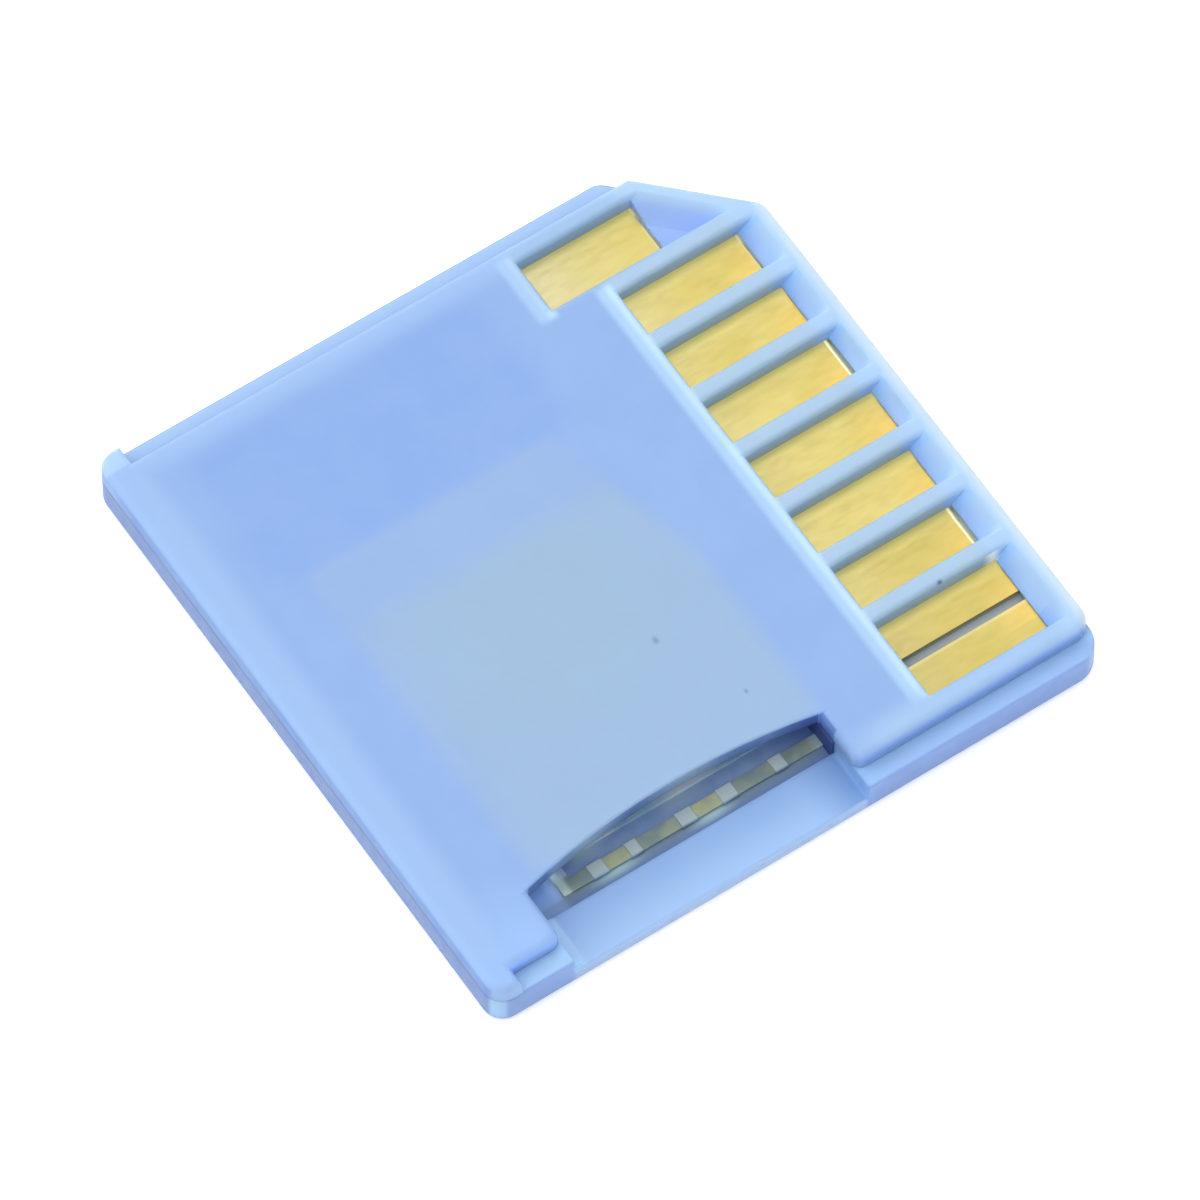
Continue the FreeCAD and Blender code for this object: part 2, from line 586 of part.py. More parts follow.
parts = [label] + moulded + leads + [cover]
for obj in parts:
    if obj.Shape.isNull() or not obj.Shape.isValid():
        raise RuntimeError(obj.Label + " has no valid shape")
    if len(obj.Shape.Solids) != 1:
        raise RuntimeError("%s has %d solids" % (obj.Label, len(obj.Shape.Solids)))

os.makedirs("parts", exist_ok=True)
for obj in parts:
    obj.Shape.exportStep("parts/%s.step" % obj.Label)
    b = obj.Shape.BoundBox
    print("%-20s %9.3f mm3  x %7.2f %7.2f  y %7.2f %7.2f  z %5.2f %5.2f" % (
        obj.Label, obj.Shape.Volume, b.XMin, b.XMax, b.YMin, b.YMax, b.ZMin, b.ZMax))
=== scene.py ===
import json
import math
import bpy
from mathutils import Matrix, Vector

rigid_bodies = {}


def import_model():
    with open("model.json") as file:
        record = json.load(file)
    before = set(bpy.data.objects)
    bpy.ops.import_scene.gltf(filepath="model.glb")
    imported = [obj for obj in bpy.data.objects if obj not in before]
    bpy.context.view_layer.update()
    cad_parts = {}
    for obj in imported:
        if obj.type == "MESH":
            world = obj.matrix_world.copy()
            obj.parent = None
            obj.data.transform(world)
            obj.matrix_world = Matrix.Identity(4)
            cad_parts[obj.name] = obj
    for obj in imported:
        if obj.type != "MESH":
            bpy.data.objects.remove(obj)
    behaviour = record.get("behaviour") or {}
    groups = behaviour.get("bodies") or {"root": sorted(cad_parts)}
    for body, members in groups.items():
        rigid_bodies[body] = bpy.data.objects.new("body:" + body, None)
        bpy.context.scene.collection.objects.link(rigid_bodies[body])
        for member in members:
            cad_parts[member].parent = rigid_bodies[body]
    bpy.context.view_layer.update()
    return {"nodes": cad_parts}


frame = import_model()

MM = 0.001
nodes = frame["nodes"]
scene = bpy.context.scene
for o in list(bpy.data.objects):
    if o.name in ("Cube", "Light", "Camera") and o.type in ("MESH", "LIGHT", "CAMERA") and o.name not in nodes:
        bpy.data.objects.remove(o)


# ------------------------------------------------------------------ node help
class Graph:
    """Small helper that builds a material's node tree, in millimetres."""

    def __init__(self, name):
        self.mat = bpy.data.materials.new(name)
        self.mat.use_nodes = True
        self.nt = self.mat.node_tree
        self.nt.nodes.clear()
        self.out = self.nt.nodes.new("ShaderNodeOutputMaterial")
        self.bsdf = self.nt.nodes.new("ShaderNodeBsdfPrincipled")
        self.nt.links.new(self.bsdf.outputs[0], self.out.inputs[0])
        tc = self.nt.nodes.new("ShaderNodeTexCoord")
        sc = self.nt.nodes.new("ShaderNodeVectorMath")
        sc.operation = "SCALE"
        sc.inputs["Scale"].default_value = 1000.0
        self.nt.links.new(tc.outputs["Object"], sc.inputs[0])
        self.pos = sc.outputs[0]
        sep = self.nt.nodes.new("ShaderNodeSeparateXYZ")
        self.nt.links.new(self.pos, sep.inputs[0])
        self.x, self.y, self.z = sep.outputs[0], sep.outputs[1], sep.outputs[2]
        g = self.nt.nodes.new("ShaderNodeNewGeometry")
        sn = self.nt.nodes.new("ShaderNodeSeparateXYZ")
        self.nt.links.new(g.outputs["Normal"], sn.inputs[0])
        self.nx, self.ny, self.nz = sn.outputs[0], sn.outputs[1], sn.outputs[2]

    def put(self, socket, v):
        if isinstance(v, bpy.types.NodeSocket):
            self.nt.links.new(v, socket)
        else:
            socket.default_value = v

    def math(self, op, a, b=None, c=None, clamp=False):
        n = self.nt.nodes.new("ShaderNodeMath")
        n.operation = op
        n.use_clamp = clamp
        self.put(n.inputs[0], a)
        if b is not None:
            self.put(n.inputs[1], b)
        if c is not None:
            self.put(n.inputs[2], c)
        return n.outputs[0]

    def ramp(self, v, lo, hi, out_lo=0.0, out_hi=1.0, smooth=True):
        n = self.nt.nodes.new("ShaderNodeMapRange")
        n.interpolation_type = "SMOOTHSTEP" if smooth else "LINEAR"
        n.clamp = True
        self.put(n.inputs["Value"], v)
        self.put(n.inputs["From Min"], lo)
        self.put(n.inputs["From Max"], hi)
        self.put(n.inputs["To Min"], out_lo)
        self.put(n.inputs["To Max"], out_hi)
        return n.outputs["Result"]

    def band(self, v, lo, hi, soft):
        """1 between lo and hi, with soft edges."""
        return self.math("MULTIPLY", self.ramp(v, lo - soft, lo + soft), self.ramp(v, hi - soft, hi + soft, 1.0, 0.0))

    def rect(self, x0, x1, y0, y1, soft):
        return self.math("MULTIPLY", self.band(self.x, x0, x1, soft), self.band(self.y, y0, y1, soft))

    def spot(self, cx, cy, rx, ry):
        """1 in the middle of an ellipse, falling smoothly to 0 at its edge."""
        dx = self.math("DIVIDE", self.math("SUBTRACT", self.x, cx), rx)
        dy = self.math("DIVIDE", self.math("SUBTRACT", self.y, cy), ry)
        d2 = self.math("ADD", self.math("MULTIPLY", dx, dx), self.math("MULTIPLY", dy, dy))
        return self.ramp(self.math("SQRT", d2), 0.0, 1.0, 1.0, 0.0)

    def noise(self, scale, detail=3.0, rough=0.5, stretch=(1, 1, 1), seed=0.0):
        """Noise with features about 1 / scale mm."""
        m = self.nt.nodes.new("ShaderNodeMapping")
        self.nt.links.new(self.pos, m.inputs["Vector"])
        m.inputs["Scale"].default_value = stretch
        m.inputs["Location"].default_value = (seed * 3.1, seed * 1.7, seed * 2.3)
        n = self.nt.nodes.new("ShaderNodeTexNoise")
        self.nt.links.new(m.outputs[0], n.inputs["Vector"])
        n.inputs["Scale"].default_value = scale
        n.inputs["Detail"].default_value = detail
        n.inputs["Roughness"].default_value = rough
        return n.outputs["Fac"]

    def mix(self, fac, a, b, mode="MIX"):
        n = self.nt.nodes.new("ShaderNodeMix")
        n.data_type = "RGBA"
        n.blend_type = mode
        self.put(n.inputs["Factor"], fac)
        self.put(n.inputs[6], a)
        self.put(n.inputs[7], b)
        return n.outputs[2]

    def bump(self, height, strength, distance):
        n = self.nt.nodes.new("ShaderNodeBump")
        n.inputs["Strength"].default_value = strength
        n.inputs["Distance"].default_value = distance
        self.nt.links.new(height, n.inputs["Height"])
        self.nt.links.new(n.outputs[0], self.bsdf.inputs["Normal"])

    def set(self, **values):
        for k, v in values.items():
            self.put(self.bsdf.inputs[k.replace("_", " ")], v)


LIGHT = 1.45    # how bright the studio dome is


def lin(r, g, b, k=1.0):
    """Base colour that looks about (r, g, b), 8-bit, on a face turned to the dome."""
    def f(c):
        c /= 255.0
        c = c / 12.92 if c <= 0.04045 else ((c + 0.055) / 1.055) ** 2.4
        return min(c * k / LIGHT, 0.97)
    return (f(r), f(g), f(b), 1.0)


# ------------------------------------------------------------------ materials


def blue(g):
    """Satin, slightly translucent moulded plastic: everything but its colour."""
    g.bsdf.inputs["IOR"].default_value = 1.46
    g.bsdf.inputs["Specular IOR Level"].default_value = 0.35
    g.bsdf.inputs["Subsurface Weight"].default_value = 0.8
    g.bsdf.inputs["Subsurface Radius"].default_value = (0.6, 0.75, 0.9)
    g.bsdf.inputs["Subsurface Scale"].default_value = 0.0009
    g.bsdf.subsurface_method = "BURLEY"
    g.set(Roughness=g.ramp(g.noise(2.0, 1.0), 0.3, 0.7, 0.46, 0.56))
    g.bump(g.noise(0.9, 1.0), 0.25, 0.00002)


def cover_plastic():
    g = Graph("blue_plastic_cover")
    x, y, z = g.x, g.y, g.z
    col = lin(154, 188, 241)
    # deeper where the plastic is thick, behind the card slot
    col = g.mix(g.rect(-10.4, -4.4, -9.6, 2.0, 0.8), col, lin(147, 182, 241))
    # the card slot shows through the raised face as a paler, greener area
    rise = g.math("ADD", 2.55, g.ramp(x, -4.5, 2.0, -1.6, 0.0, False))
    under = g.math("MULTIPLY", g.band(x, -4.4, 8.9, 0.25),
                   g.math("MULTIPLY", g.ramp(y, -8.9, -8.1), g.ramp(g.math("SUBTRACT", y, rise), -0.5, 0.5, 1.0, 0.0)))
    col = g.mix(under, col, lin(160, 190, 236))
    deep = g.math("MULTIPLY", under, g.ramp(x, -2.6, -1.0))
    col = g.mix(g.math("MULTIPLY", deep, g.ramp(y, -9.0, -7.0)), col, lin(165, 194, 227))
    col = g.mix(g.math("MULTIPLY", deep, g.spot(1.5, -3.0, 5.5, 6.0)), col, lin(166, 195, 222))
    # light edges, where light comes through the thin rim, bars and ribs
    edge = g.math("MAXIMUM", g.ramp(x, -10.0, -11.0), g.ramp(y, -10.2, -11.1))
    col = g.mix(edge, col, lin(167, 200, 248))
    col = g.mix(g.spot(11.2, -9.9, 3.4, 2.2), col, lin(164, 201, 255, 1.03))
    rim = g.math("MULTIPLY", g.band(y, 5.3, 5.98, 0.15), g.band(x, -8.2, 10.6, 0.2))
    col = g.mix(g.math("MULTIPLY", rim, 0.8), col, g.mix(g.ramp(y, 5.5, 5.82), lin(186, 221, 255, 1.08), lin(206, 234, 254, 1.35)))
    rim = g.math("MULTIPLY", g.band(y, 3.15, 3.82, 0.15), g.band(x, -10.9, -8.1, 0.2))
    col = g.mix(g.math("MULTIPLY", rim, 0.8), col, g.mix(g.ramp(y, 3.35, 3.66), lin(184, 218, 252, 1.05), lin(206, 232, 250, 1.25)))
    col = g.mix(g.math("MULTIPLY", g.ramp(x, 9.9, 10.9), g.ramp(y, 2.0, 4.2)), col, lin(176, 209, 249))
    ribs = g.math("MULTIPLY", g.ramp(y, 5.6, 6.1), g.band(x, -8.4, 10.4, 0.15))
    col = g.mix(ribs, col, g.mix(g.ramp(y, 10.2, 11.0), lin(184, 212, 238), lin(180, 213, 252, 1.05)))
    col = g.mix(g.math("MULTIPLY", g.ramp(x, -8.1, -8.5), g.ramp(y, 3.2, 4.0)), col, lin(170, 203, 240))
    bar = g.mix(g.ramp(y, 11.4, 11.85), lin(186, 219, 253), lin(226, 243, 255))
    col = g.mix(g.ramp(y, 10.4, 11.5), col, bar)
    chamfer = g.math("SUBTRACT", y, x)
    col = g.mix(g.math("MULTIPLY", g.ramp(chamfer, 18.2, 19.4), g.ramp(x, -8.0, -8.6)), col, lin(190, 222, 253))
    # painted shade: the front wall and the chamfer wall are painted a deeper blue low down
    walls = g.math("MAXIMUM", g.ramp(y, 11.86, 11.93), g.ramp(chamfer, 19.80, 19.90))
    walls = g.math("MULTIPLY", walls, g.ramp(z, 1.95, 1.75))
    col = g.mix(walls, col, lin(143, 176, 238))
    # painted light on the ramps in front of the pads, with painted shade on the part of each beside the rib on its
    # left
    low = g.math("MULTIPLY", g.ramp(y, 10.3, 10.6), g.ramp(z, 2.05, 1.5))
    low = g.math("MULTIPLY", low, g.ramp(y, 11.48, 11.38))
    cell = g.math("FRACT", g.math("DIVIDE", g.math("ADD", x, 7.75), 2.5))
    foot = g.mix(g.ramp(cell, 0.2, 0.6), lin(138, 174, 234, 1.4), lin(151, 186, 236, 1.4))
    foot = g.mix(g.band(x, -2.9, 1.9, 0.15), foot, g.mix(g.ramp(cell, 0.2, 0.6), lin(152, 188, 246, 1.40), lin(172, 202, 246, 1.40)))
    col = g.mix(low, col, foot)
    # painted shade just right of each rib's end, and a painted highlight on each rib's crest where it meets the front
    # bar
    ends = g.math("MULTIPLY", g.math("MULTIPLY", g.band(y, 10.85, 11.44, 0.05), g.ramp(x, 9.4, 9.2)), g.ramp(x, -8.4, -8.2))
    col = g.mix(g.math("MULTIPLY", g.math("MULTIPLY", ends, g.band(cell, 0.0, 0.14, 0.07)), 0.6), col, lin(150, 200, 255, 1.15))
    lit = g.math("MULTIPLY", g.band(cell, 0.68, 0.76, 0.05), g.math("MULTIPLY", ends, g.ramp(y, 11.0, 11.2)))
    lit = g.math("MULTIPLY", lit, g.math("MULTIPLY", g.ramp(y, 11.5, 11.4), g.ramp(x, 8.7, 8.6)))
    col = g.mix(g.math("MULTIPLY", lit, 0.3), col, lin(206, 232, 255, 1.15))
    # painted light on the low floor and slope of window nine
    nine = g.math("MULTIPLY", g.ramp(x, -8.3, -8.45), g.math("MULTIPLY", g.ramp(y, 8.2, 8.3), g.ramp(z, 2.07, 1.75)))
    col = g.mix(nine, col, lin(156, 188, 248, 1.1))
    # painted light on the rear left corner
    col = g.mix(g.math("MULTIPLY", g.ramp(x, -11.1, -11.3), g.ramp(y, -10.8, -11.0)), col, lin(188, 220, 255))
    col = g.mix(1.0, col, (0.895, 0.93, 0.96, 1), "MULTIPLY")
    # painted shade: the step down to the rail is deeper blue, and so is the mouth's edge; the step is painted lighter
    # low down, painted light where it meets the rail
    step = g.math("MULTIPLY", g.ramp(x, 11.02, 11.22), g.ramp(z, 2.07, 1.85))
    step = g.math("MULTIPLY", step, g.ramp(y, -10.95, -10.8))
    deep = g.mix(g.ramp(z, 1.62, 1.42), lin(140, 180, 250), lin(152, 196, 255, 1.1))
    deep = g.mix(g.ramp(y, -8.9, -9.1), deep, lin(145, 186, 255, 1.2))
    col = g.mix(step, col, deep)
    # painted shade on the rear wall below its top edge, darker towards the right
    outer = g.math("MULTIPLY", g.ramp(y, -11.80, -11.92), g.ramp(z, 2.04, 1.85))
    col = g.mix(outer, col, g.mix(g.ramp(x, -11.0, -9.5), lin(142, 176, 236), lin(121, 159, 224)))
    # the mouth's edge wall: painted shade in navy, darkest at its front end, with two paler patches and painted light
    # near its rear end
    wall = g.math("MULTIPLY", g.band(x, 8.3, 9.3, 0.05), g.band(y, -8.85, 2.55, 0.04))
    wall = g.math("MULTIPLY", wall, g.ramp(z, 2.08, 2.0))
    tone = g.mix(g.spot(8.5, -2.3, 2.0, 2.2), lin(98, 131, 188), lin(146, 175, 204))
    tone = g.mix(g.spot(8.7, -6.2, 2.0, 1.8), tone, lin(150, 179, 209))
    tone = g.mix(g.ramp(y, 0.5, 2.4), tone, lin(72, 98, 172))
    tone = g.mix(g.spot(8.55, -7.7, 0.8, 0.6), tone, lin(158, 188, 226, 1.1))
    col = g.mix(wall, col, tone)
    # painted shade on the wall at the front end of the mouth
    corner = g.math("MULTIPLY", g.math("MULTIPLY", g.band(y, 2.56, 2.72, 0.03), g.band(x, 8.3, 9.9, 0.05)), g.ramp(z, 2.07, 1.98))
    col = g.mix(corner, col, lin(102, 139, 207))
    # a small near-white spot at the end of a rib, and a small dark speck on a rib's top
    col = g.mix(g.math("MULTIPLY", g.spot(7.24, 10.66, 0.14, 0.42), g.ramp(z, 2.03, 1.95)), col, lin(240, 250, 252, 1.3))
    col = g.mix(g.math("MULTIPLY", g.math("MULTIPLY", g.spot(7.22, 8.6, 0.12, 0.16), 0.9), g.ramp(z, 1.93, 2.0)), col, lin(90, 84, 96))
    # faint cloudiness
    cloud = g.ramp(g.noise(0.45, 3.0), 0.35, 0.65, 0.0, 0.25)
    col = g.mix(cloud, col, g.mix(0.5, col, lin(165, 197, 238)))
    # small specks in the plastic
    for cx, cy, r in ((3.9, -0.35, 0.16), (7.1, 1.05, 0.10)):
        col = g.mix(g.math("MULTIPLY", g.spot(cx, cy, r * 1.4, r), 0.8), col, lin(110, 140, 185))
    g.set(Base_Color=col)
    blue(g)
    return g.mat


def label_plastic():
    g = Graph("blue_plastic_label")
    x, y, z = g.x, g.y, g.z
    # lighter towards the rear; painted light on the right rail's inner strip beside the step, and on the left rail
    col = g.mix(g.ramp(y, 3.0, -9.0), lin(165, 203, 254), lin(173, 213, 255, 1.05))
    col = g.mix(g.ramp(x, 11.5, 11.28), col, lin(166, 207, 255, 1.12))
    col = g.mix(g.ramp(x, -11.0, -11.5), col, lin(175, 206, 249))
    # lip of the card slot: painted shade towards the mouth and at its front end, painted light on the guide at its
    # rear end
    lip = g.math("MULTIPLY", g.ramp(x, 9.8, 9.9), g.band(y, -8.6, 2.6, 0.2))
    tone = g.mix(g.ramp(x, 10.2, 11.8), lin(151, 188, 243), lin(168, 203, 252))
    tone = g.mix(g.ramp(y, 0.6, 2.6), tone, lin(126, 166, 224))
    tone = g.mix(g.ramp(y, -8.3, -8.45), tone, lin(178, 214, 255))
    col = g.mix(lip, col, tone)
    col = g.mix(1.0, col, (0.91, 0.94, 0.95, 1), "MULTIPLY")
    # painted shade: outer walls and the bottom edge a little deeper, with painted light on the right outer wall beside
    # the card slot
    side = g.math("MAXIMUM", g.ramp(g.math("ABSOLUTE", x), 11.90, 11.98), g.ramp(g.math("ABSOLUTE", y), 11.85, 11.93))
    side = g.math("MAXIMUM", side, g.ramp(g.math("SUBTRACT", y, x), 19.80, 19.90))
    side = g.math("MAXIMUM", side, g.ramp(z, 0.28, 0.2))
    wall = g.mix(g.band(y, -8.9, 2.5, 0.1), lin(139, 173, 236), lin(172, 202, 246))
    col = g.mix(side, col, g.mix(g.ramp(x, 11.7, 11.9), lin(127, 155, 212), wall))
    cloud = g.ramp(g.noise(0.45, 3.0), 0.35, 0.65, 0.0, 0.25)
    col = g.mix(cloud, col, g.mix(0.5, col, lin(165, 197, 238)))
    g.set(Base_Color=col)
    blue(g)
    return g.mat


GOLD_A, GOLD_B = lin(208, 191, 110), lin(215, 200, 124)


def gold(n):
    g = Graph("gold_contact_%d" % n)
    x, y, z = g.x, g.y, g.z
    patch = g.ramp(g.noise(0.9, 3.0, 0.5, (1, 0.5, 1), n), 0.32, 0.68)
    col = g.mix(patch, GOLD_A, GOLD_B)
    if n in (6, 7, 8):
        col = g.mix(0.5, col, lin(196, 180, 104))
    # painted reflection: each pad paler and less yellow towards its rear end
    rear = {1: lin(218, 210, 156), 4: lin(200, 191, 132), 7: lin(188, 177, 122), 8: lin(192, 183, 126)}.get(n, lin(208, 199, 138))
    col = g.mix(g.ramp(y, 5.9, 8.5, 0.55, 0.0), col, rear)
    # painted reflection: warmer towards the front right
    warm = g.math("MULTIPLY", g.ramp(y, 9.0, 10.7), g.ramp(g.math("FRACT", g.math("DIVIDE", g.math("ADD", x, 7.75), 2.5)), 0.1, 0.7, 0.2, 0.8))
    if n < 9:
        col = g.mix(warm, col, lin(232, 200, 112))
    rough = g.ramp(g.noise(5.0, 3.0, 0.6, (1, 0.25, 1), n), 0.3, 0.7, 0.32, 0.44)
    metal = 1.0
    if n == 9:
        # painted reflection: paler towards its rear end
        col = g.mix(g.ramp(y, 3.7, 6.5, 0.8, 0.0), col, lin(213, 205, 162))
    if n in (3, 6):
        # painted highlight on the bend at the nose, made less metallic
        end = {3: 10.93, 6: 10.68}[n]
        nose_highlight = g.ramp(y, end - 0.17, end - 0.12)
        col = g.mix(nose_highlight, col, lin(254, 250, 200, 1.3))
        metal = g.math("SUBTRACT", 1.0, g.math("MULTIPLY", nose_highlight, 0.7))
    if n in (1, 9):
        # a fainter painted highlight on the bend at the nose
        end = {1: 10.74, 9: 8.36}[n]
        nose_highlight = g.ramp(y, end - 0.15, end - 0.10, 0.0, 0.7)
        col = g.mix(nose_highlight, col, lin(246, 238, 196, 1.2))
        metal = g.math("SUBTRACT", 1.0, g.math("MULTIPLY", nose_highlight, 0.7))
    if n == 8:
        # painted highlight along the left edge of pad 8
        col = g.mix(g.math("MULTIPLY", g.ramp(x, 9.14, 9.06, 0.0, 0.4), g.ramp(z, 1.2, 1.3)), col, lin(236, 222, 166))
    if n == 2:
        col = g.mix(g.math("MULTIPLY", g.spot(-3.55, 10.2, 0.12, 0.35), 0.8), col, lin(110, 105, 60))
    # light that comes through the translucent rib beside the pad
    side = (0.0, 0.0, 0.0, 1)
    if n != 8:
        left = {7: 7.25, 9: -10.57}.get(n, -7.75 + 2.5 * (n - 1))
        beside = g.math("MULTIPLY", g.ramp(x, left + 0.58, left + 0.14), g.ramp(z, 1.2, 1.3))
        side = g.mix(beside, (0, 0, 0, 1), (0.28, 0.25, 0.09, 1))
    g.bsdf.inputs["Emission Strength"].default_value = 1.0
    glow = side
    if n in (7, 8):
        # the runs under the mouth are painted a pale bluish tone and made less metallic: painted light, standing in
        # for the blue light that reaches them in the slot
        slot_run = g.math("MULTIPLY", g.ramp(y, 3.0, 2.5), g.ramp(z, 0.8, 0.7))
        tone = g.mix(g.ramp(y, -1.0, 1.0), lin(188, 232, 255), lin(170, 215, 255))
        if n == 7:
            tone = g.mix(g.band(y, -3.0, -1.2, 0.5), tone, lin(235, 250, 255, 1.3))
            tone = g.mix(g.band(y, -6.9, -4.9, 0.5), tone, lin(235, 250, 255, 1.2))
        if n == 8:
            # the gold shows clearer in two places
            bare = g.math("MAXIMUM", g.band(y, -2.5, -1.4, 0.2), g.band(y, -6.0, -4.8, 0.2))
            tone = g.mix(bare, lin(128, 146, 140), lin(176, 182, 138))
            # painted light near the front end of the run and along the leg at its rear end
            tone = g.mix(g.ramp(y, 2.0, 2.5), tone, lin(160, 188, 208, 1.1))
            tone = g.mix(g.math("MULTIPLY", g.ramp(x, 8.95, 8.75), g.ramp(y, -6.6, -6.9)), tone, lin(176, 204, 240, 1.2))
            tone = g.mix(g.ramp(y, -7.2, -7.4), tone, g.mix(g.ramp(x, 9.0, 8.8), lin(190, 214, 206, 1.2), lin(190, 216, 232, 1.3)))
        mottle = g.ramp(g.noise(1.6, 1.0, 0.5, (1, 1, 1), n), 0.30, 0.70)
        tone = g.mix(0.24, tone, g.mix(mottle, lin(96, 126, 150), lin(206, 204, 150)))
        col = g.mix(slot_run, col, tone)
        # light that comes down through the translucent roof of the slot
        glow = (0.01, 0.022, 0.05, 1)
        if n == 8:
            glow = (0.01, 0.02, 0.025, 1)
            leg = g.mix(g.ramp(x, 8.95, 8.6), (0.055, 0.08, 0.065, 1), (0.15, 0.21, 0.25, 1))
            glow = g.mix(g.math("MULTIPLY", g.ramp(x, 9.3, 8.8), g.ramp(y, -7.15, -7.45)), glow, leg)
            glow = g.mix(g.math("MULTIPLY", g.ramp(x, 8.9, 8.7), g.band(y, -7.4, -6.8, 0.1)), glow, (0.035, 0.048, 0.083, 1))
        glow = g.mix(slot_run, side, glow)
        metal = g.math("SUBTRACT", 1.0, g.math("MULTIPLY", slot_run, 0.85))
        rough = g.math("ADD", rough, g.math("MULTIPLY", slot_run, 0.12))
    g.set(Base_Color=col, Roughness=rough, Metallic=metal, Emission_Color=glow)
    g.mat.cycles.emission_sampling = "NONE"    # a faint glow, not a lamp
    g.bump(g.noise(9.0, 3.0, 0.5, (1, 0.2, 1), n), 0.08, 0.00002)
    return g.mat


def slate(name):
    g = Graph(name)
    x, y, z = g.x, g.y, g.z
    shade = g.ramp(g.noise(1.5, 3.0), 0.3, 0.7)
    col = g.mix(shade, lin(124, 152, 198), lin(136, 164, 206))
    if name == "tray_plastic":
        # pale bridges over contact 8, coloured pale only above z 0.46 to 0.5
        for mid, size in ((0.90, 0.50), (-1.10, 0.62), (-2.70, 0.62), (-4.75, 0.45), (-6.15, 0.60)):
            bridge = g.math("MULTIPLY", g.band(x, 8.86, 9.54, 0.03), g.band(y, mid - size / 2 - 0.05, mid + size / 2 + 0.05, 0.03))
            bridge = g.math("MULTIPLY", bridge, g.ramp(z, 0.46, 0.50))
            col = g.mix(bridge, col, lin(174, 190, 190))
        # painted shade in a strip beside the lip and in the front corner of the slot; paler patches at four spots;
        # painted light at the rear end of contact 8's leg
        col = g.mix(g.ramp(x, 9.40, 9.5), col, g.mix(g.ramp(x, 9.6, 9.8), lin(104, 127, 146), lin(92, 120, 172)))
        col = g.mix(g.spot(8.7, 2.5, 1.2, 1.8), col, lin(84, 110, 186))
        col = g.mix(g.spot(9.55, -1.9, 0.32, 1.3), col, lin(160, 194, 206))
        col = g.mix(g.spot(9.55, -5.6, 0.32, 1.4), col, lin(160, 192, 206))
        rear = g.math("MULTIPLY", g.ramp(y, -7.4, -7.9), g.ramp(x, 9.6, 8.9, 0.35, 1.0))
        col = g.mix(rear, col, lin(146, 188, 252, 1.25))
        col = g.mix(g.math("MULTIPLY", g.spot(8.2, -2.4, 0.75, 1.5), 0.7), col, lin(172, 196, 200))
        col = g.mix(g.math("MULTIPLY", g.spot(8.2, -6.1, 0.75, 1.2), 0.9), col, lin(196, 220, 228))
    else:
        # the groove between pads 7 and 8 and the gaps at the pad noses, painted lighter: painted light against their
        # shade; the wall at the mouth, painted dark navy: painted shade
        col = g.mix(g.ramp(z, 0.9, 1.0), col, lin(168, 180, 186))
        col = g.mix(g.math("MULTIPLY", g.ramp(x, 7.2, 7.0), g.ramp(z, 0.9, 1.0)), col, lin(215, 222, 220, 1.3))
        col = g.mix(g.ramp(y, 2.7, 2.6), col, lin(54, 80, 150))
    if name == "tray_plastic":
        # light that comes down through the translucent roof of the slot
        glow = g.mix(g.spot(8.85, -7.7, 0.9, 0.4), (0.04, 0.09, 0.2, 1), (0.34, 0.44, 0.56, 1))
        g.put(g.bsdf.inputs["Emission Color"], glow)
        g.bsdf.inputs["Emission Strength"].default_value = 0.25
        g.mat.cycles.emission_sampling = "NONE"
    g.set(Base_Color=col, Roughness=0.55)
    g.bump(g.noise(12.0, 2.0), 0.1, 0.00002)
    return g.mat


def assign(name, mat):
    o = nodes[name]
    o.data.materials.clear()
    o.data.materials.append(mat)
    for p in o.data.polygons:
        p.material_index = 0


assign("contact_side_shell", cover_plastic())
assign("label_side_shell", label_plastic())
assign("contact_insert", slate("insert_plastic"))
assign("slot_tray", slate("tray_plastic"))
for k in range(1, 10):
    assign("contact_lead_%d" % k, gold(k))

# ---------------------------------------------------------------------- stage
floor_mesh = bpy.data.meshes.new("floor")
s = 0.6
floor_mesh.from_pydata([(-s, -s, 0), (s, -s, 0), (s, s, 0), (-s, s, 0)], [], [(0, 1, 2, 3)])
floor = bpy.data.objects.new("floor", floor_mesh)
scene.collection.objects.link(floor)
floor.location.z = -0.00001
fm = bpy.data.materials.new("floor")
fm.use_nodes = True
fb = fm.node_tree.nodes["Principled BSDF"]
fb.inputs["Base Color"].default_value = (0.90, 0.90, 0.90, 1)
fb.inputs["Roughness"].default_value = 0.9
fb.inputs["Emission Color"].default_value = (1, 1, 1, 1)
fb.inputs["Emission Strength"].default_value = 0.25
floor_mesh.materials.append(fm)

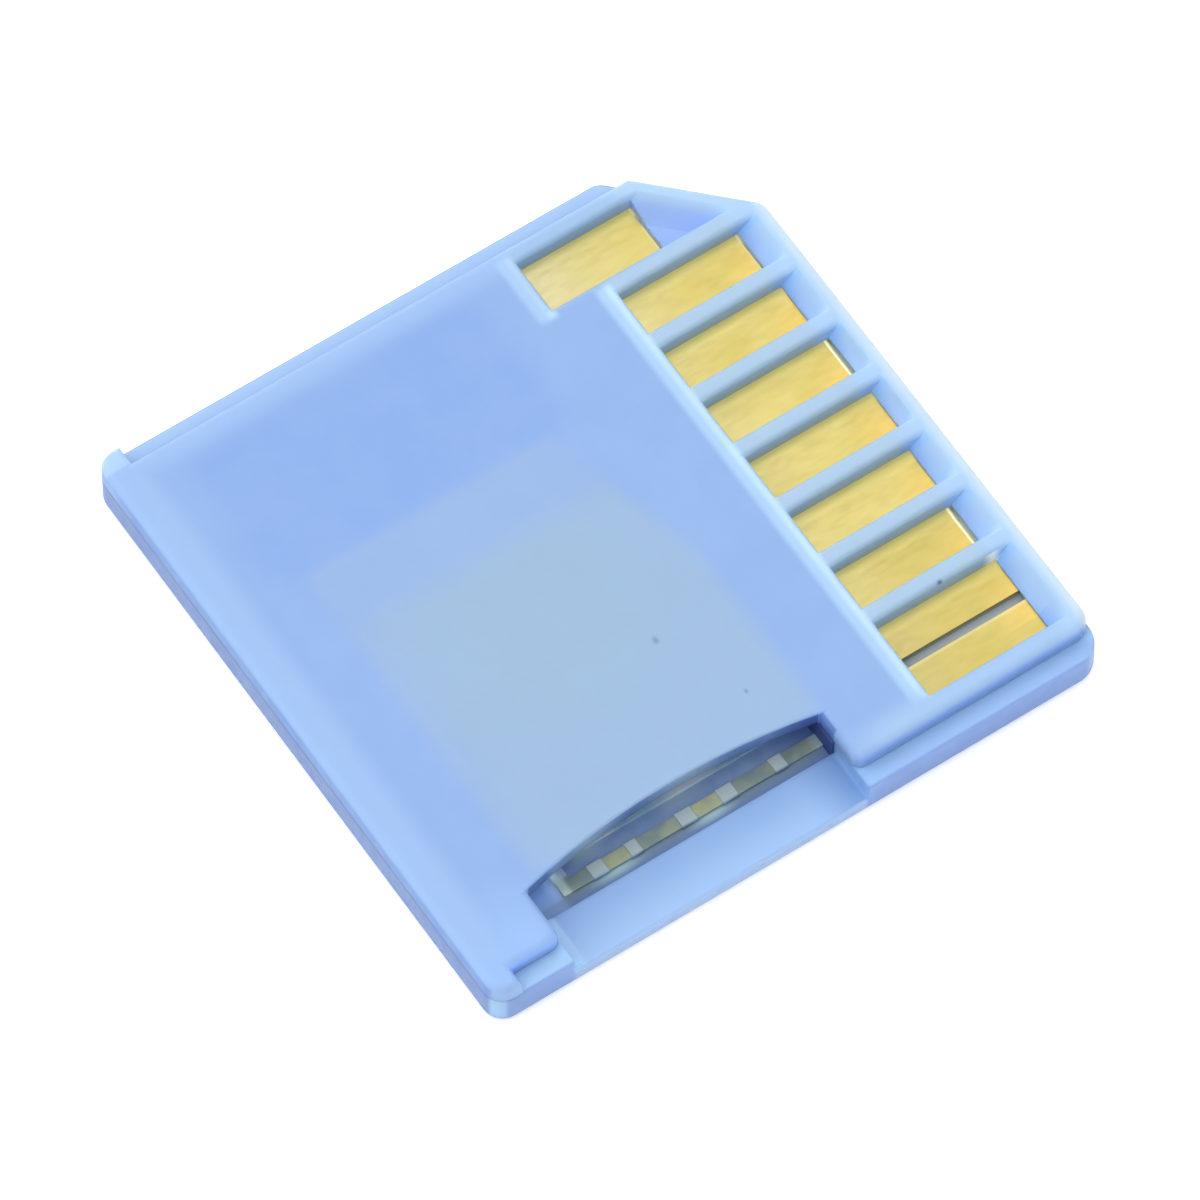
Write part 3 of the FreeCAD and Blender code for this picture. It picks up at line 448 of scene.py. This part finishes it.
# Soft studio light: a pale dome, brightest above the left of the object.
SIDE, TOP, TIGHT = 0.45 * LIGHT, 1.11 * LIGHT, 1.6
world = bpy.data.worlds.new("soft_dome")
scene.world = world
world.use_nodes = True
wt = world.node_tree
bg = wt.nodes["Background"]
wc = wt.nodes.new("ShaderNodeTexCoord")
dot = wt.nodes.new("ShaderNodeVectorMath")
dot.operation = "DOT_PRODUCT"
wt.links.new(wc.outputs["Generated"], dot.inputs[0])
dot.inputs[1].default_value = Vector((-0.36, -0.20, 0.92)).normalized()
clip = wt.nodes.new("ShaderNodeMath")
clip.operation = "MAXIMUM"
wt.links.new(dot.outputs["Value"], clip.inputs[0])
clip.inputs[1].default_value = 0.0
power = wt.nodes.new("ShaderNodeMath")
power.operation = "POWER"
wt.links.new(clip.outputs[0], power.inputs[0])
power.inputs[1].default_value = TIGHT
glow = wt.nodes.new("ShaderNodeMath")
glow.operation = "MULTIPLY_ADD"
wt.links.new(power.outputs[0], glow.inputs[0])
glow.inputs[1].default_value = TOP
glow.inputs[2].default_value = SIDE
wt.links.new(glow.outputs[0], bg.inputs["Strength"])
bg.inputs["Color"].default_value = (1, 1, 1, 1)

# --------------------------------------------------------------------- camera
# The photograph's camera, fitted to the outline, ribs and chamfer.
AZ, EL, ROLL = 56.297, 60.654, 0.012
F_PX, DIST, CX, CY, SHIFT_Y = 13260.99, 435.393, 594.2, 582.261, -0.15
a, e, ro = (math.radians(v) for v in (AZ, EL, ROLL))
back = Vector((math.sin(a) * math.cos(e), -math.cos(a) * math.cos(e), math.sin(e)))
fwd = -back
right = fwd.cross(Vector((0, 0, 1))).normalized()
up = right.cross(fwd)
right, up = math.cos(ro) * right + math.sin(ro) * up, -math.sin(ro) * right + math.cos(ro) * up
ox, oy = (CX - 600) / F_PX * DIST, -(CY - 600) / F_PX * DIST
eye = -(right * ox + up * oy + fwd * DIST) + Vector((0, SHIFT_Y, 0))
cam_data = bpy.data.cameras.new("camera")
cam_data.sensor_fit = "HORIZONTAL"
cam_data.sensor_width = 36.0
cam_data.lens = 36.0 * F_PX / 1200.0
cam_data.clip_start = 0.01
cam_data.clip_end = 10.0
cam = bpy.data.objects.new("camera", cam_data)
scene.collection.objects.link(cam)
m = Matrix((right, up, -fwd)).transposed().to_4x4()
m.translation = eye * MM
cam.matrix_world = m
scene.camera = cam
scene.view_settings.view_transform = "Standard"
